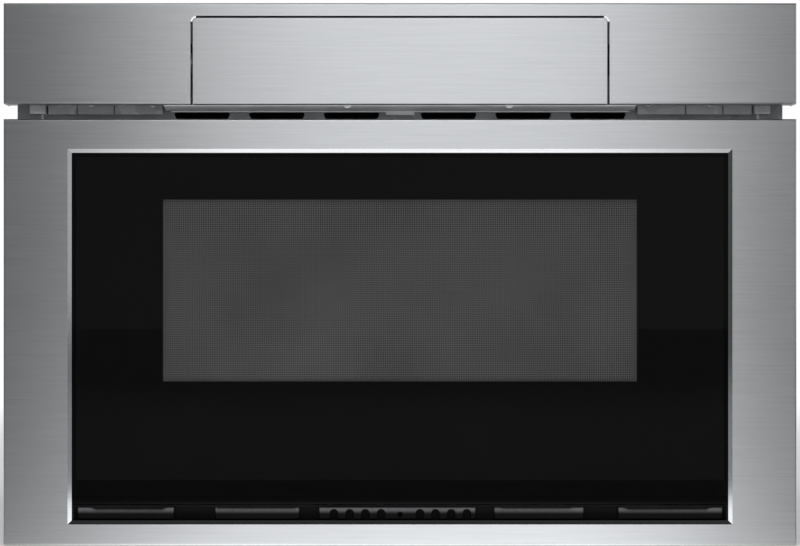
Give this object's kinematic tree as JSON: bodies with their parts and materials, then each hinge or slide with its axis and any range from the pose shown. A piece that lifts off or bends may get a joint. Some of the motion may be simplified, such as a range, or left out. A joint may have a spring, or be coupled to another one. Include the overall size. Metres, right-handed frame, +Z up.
{
  "type": "microwave drawer",
  "caption": "Built-in microwave oven whose glass-fronted cooking bin slides out like a drawer, with a control panel that tilts out of the steel fascia.",
  "frame": {"origin": "centre line of the part, where the back of its mounting flange meets the cabinet's face, level with the sill that the base rests on", "axes": "+Z up, -Y out of the cabinet towards the user, +X to the user's right"},
  "size_m": [0.6064, 0.5997, 0.4143],
  "materials": {
    "stainless": "brushed along X",
    "galvanised": "galvanised sheet",
    "cavity_steel": "satin stainless",
    "plate_black": "dark coated sheet",
    "case_paint": "grey coated sheet",
    "slide_steel": "zinc-plated",
    "screw_steel": "nickel-plated",
    "black_glass": "tinted, polished",
    "clear_glass": "polished",
    "glass_ceramic": "polished",
    "touch_surface": "polished black",
    "black_plastic": "fine texture",
    "choke_plastic": "satin",
    "foam": "foam",
    "motor_paint": "plated can",
    "screen_black": "black enamel",
    "core_iron": "lacquered laminations",
    "aluminium": "mill finish",
    "mica": "mica sheet",
    "board": "solder resist",
    "fan_plastic": "moulded",
    "acetal": "moulded acetal"
  },
  "bodies": {
    "chassis": {"fascia_panel": "stainless", "air_deflector": "plate_black", "front_plate": "galvanised", "base_pan": "galvanised", "side_panel_right": "case_paint", "side_panel_left": "case_paint", "top_cover": "case_paint", "rear_cover": "case_paint", "cable_gland": "black_plastic", "cavity_floor": "cavity_steel", "cavity_ceiling": "cavity_steel", "cavity_side_right": "cavity_steel", "cavity_side_left": "cavity_steel", "cavity_rear": "cavity_steel", "cavity_lamp": "galvanised", "cavity_rails": "galvanised", "stirrer_cover": "mica", "wave_guide": "galvanised", "stirrer_motor": "motor_paint", "magnetron": "aluminium", "fan_shroud": "galvanised", "fan_motor": "motor_paint", "exhaust_duct": "black_plastic", "drive_gearbox": "motor_paint", "control_housing": "black_plastic", "flap_motor": "motor_paint", "slide_outer_rails": "slide_steel", "interlock_switches": "black_plastic", "fascia_brackets": "galvanised", "chassis_screws": "screw_steel", "transformer": "core_iron", "capacitor": "aluminium", "circuit_boards": "board"},
    "drawer": {"door_frame": "stainless", "door_glass": "black_glass", "glass_tape": "foam", "glass_channel": "black_plastic", "lower_grille": "black_plastic", "door_inner_panel": "screen_black", "door_screen": "screen_black", "door_inner_glass": "clear_glass", "choke_cover": "choke_plastic", "door_screws": "screw_steel", "bin_tub": "cavity_steel", "bin_plate": "glass_ceramic", "slide_inner_rails": "slide_steel", "door_arms": "slide_steel", "crossbar": "slide_steel", "latch_hooks": "acetal", "drive_rack": "acetal"},
    "slide_member_right": {"slide_middle_right": "slide_steel"},
    "slide_member_left": {"slide_middle_left": "slide_steel"},
    "drive_gear": {"drive_pinion": "acetal"},
    "control_flap": {"flap_front": "stainless", "flap_module": "black_plastic", "touch_glass": "touch_surface", "display_board": "board"},
    "flap_gear": {"flap_pinion": "acetal"},
    "stirrer_rotor": {"stirrer": "aluminium"},
    "fan_rotor": {"fan_blades": "fan_plastic"}
  },
  "joints": [
    {"name": "drawer_slide", "type": "slide", "parent": "chassis", "child": "drawer", "axis": [0, -1, 0], "range_m": [0, 0.381]},
    {"name": "slide_member_right_travel", "type": "slide", "parent": "chassis", "child": "slide_member_right", "axis": [0, -1, 0], "range_m": [0, 0.1905]},
    {"name": "slide_member_left_travel", "type": "slide", "parent": "chassis", "child": "slide_member_left", "axis": [0, -1, 0], "range_m": [0, 0.1905]},
    {"name": "drive_pinion_spin", "type": "hinge", "parent": "chassis", "child": "drive_gear", "pos_m": [0, 0.026, 0.022], "axis": [1, 0, 0], "range_deg": [0, 1560]},
    {"name": "flap_hinge", "type": "hinge", "parent": "chassis", "child": "control_flap", "pos_m": [0, -0.0314, 0.3212], "axis": [1, 0, 0], "range_deg": [0, 45]},
    {"name": "flap_pinion_spin", "type": "hinge", "parent": "chassis", "child": "flap_gear", "pos_m": [-0.1518, -0.0149, 0.34978], "axis": [1, 0, 0], "range_deg": [-168, 0]},
    {"name": "stirrer_spin", "type": "hinge", "parent": "chassis", "child": "stirrer_rotor", "pos_m": [0, 0.215, 0.29], "axis": [0, 0, 1], "continuous": true},
    {"name": "fan_spin", "type": "hinge", "parent": "chassis", "child": "fan_rotor", "pos_m": [0.096, 0.494, 0.22], "axis": [1, 0, 0], "continuous": true}
  ],
  "couplings": [
    {"joint": "slide_member_right_travel", "follows": "drawer_slide", "ratio": 0.5},
    {"joint": "slide_member_left_travel", "follows": "drawer_slide", "ratio": 0.5},
    {"joint": "drive_pinion_spin", "follows": "drawer_slide", "rad_per_m": 71.429},
    {"joint": "flap_pinion_spin", "follows": "flap_hinge", "ratio": -3.7143}
  ]
}
